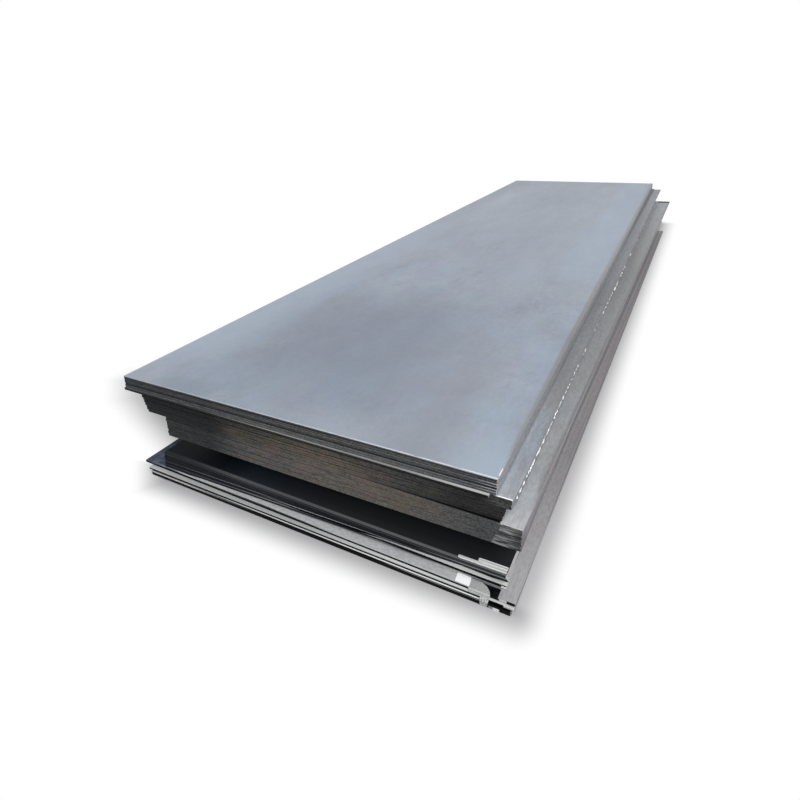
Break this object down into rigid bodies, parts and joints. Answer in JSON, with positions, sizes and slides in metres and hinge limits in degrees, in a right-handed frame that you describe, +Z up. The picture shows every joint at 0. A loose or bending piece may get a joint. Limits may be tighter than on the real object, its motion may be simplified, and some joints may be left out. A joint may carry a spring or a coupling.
{
  "type": "stack of steel plates",
  "caption": "Yard stack of long hot-rolled steel plates in shifted packs, with timber bearers that keep a gap for forks and slings.",
  "frame": {"origin": "centre of the stack's outer box, on the ground under it", "axes": "+X across the plates, to the right seen from the front end; +Y along the plates, away from the front end; +Z up"},
  "size_m": [1.7122, 6.0732, 0.4209],
  "materials": {
    "bright_plate": "hot-rolled mill finish, light edges",
    "ledge_plate": "hot-rolled mill finish, light and slightly worn",
    "lower_plate": "dark mill scale",
    "middle_plate": "sheared edges with a brown rust tint",
    "upper_plate": "dark mill scale with dark sheared edges",
    "slipped_plate": "hot-rolled mill finish, light edge",
    "top_plate": "blue-grey mill scale with a soft sheen",
    "offcut_steel": "light cut steel",
    "bearer_timber": "rough sawn softwood, weathered"
  },
  "bodies": {
    "root": {"base_plate_1": "bright_plate", "base_plate_2": "bright_plate", "base_plate_3": "bright_plate", "base_plate_4": "bright_plate", "base_plate_5": "bright_plate", "ledge_plate_1": "ledge_plate", "lower_plate_1": "lower_plate", "lower_plate_2": "lower_plate", "lower_plate_3": "lower_plate", "lower_plate_4": "lower_plate", "lower_plate_5": "lower_plate", "lower_plate_6": "lower_plate", "lower_plate_7": "lower_plate", "middle_plate_1": "middle_plate", "middle_plate_2": "middle_plate", "middle_plate_3": "middle_plate", "middle_plate_4": "middle_plate", "middle_plate_5": "middle_plate", "middle_plate_6": "middle_plate", "middle_plate_7": "middle_plate", "middle_plate_8": "middle_plate", "middle_plate_9": "middle_plate", "upper_plate_1": "upper_plate", "upper_plate_2": "upper_plate", "upper_plate_3": "upper_plate", "upper_plate_4": "upper_plate", "upper_plate_5": "upper_plate", "cover_plate_1": "upper_plate", "cover_plate_2": "upper_plate", "cover_plate_3": "upper_plate", "cover_plate_4": "upper_plate", "slipped_plate_1": "slipped_plate", "top_plate_1": "top_plate", "top_plate_2": "top_plate", "top_plate_3": "top_plate", "top_plate_4": "top_plate", "top_plate_5": "top_plate", "top_plate_6": "top_plate", "bearer_1": "bearer_timber", "bearer_2": "bearer_timber", "bearer_3": "bearer_timber", "bearer_4": "bearer_timber", "bearer_5": "bearer_timber", "long_offcut": "offcut_steel", "short_offcut": "offcut_steel"}
  },
  "joints": []
}
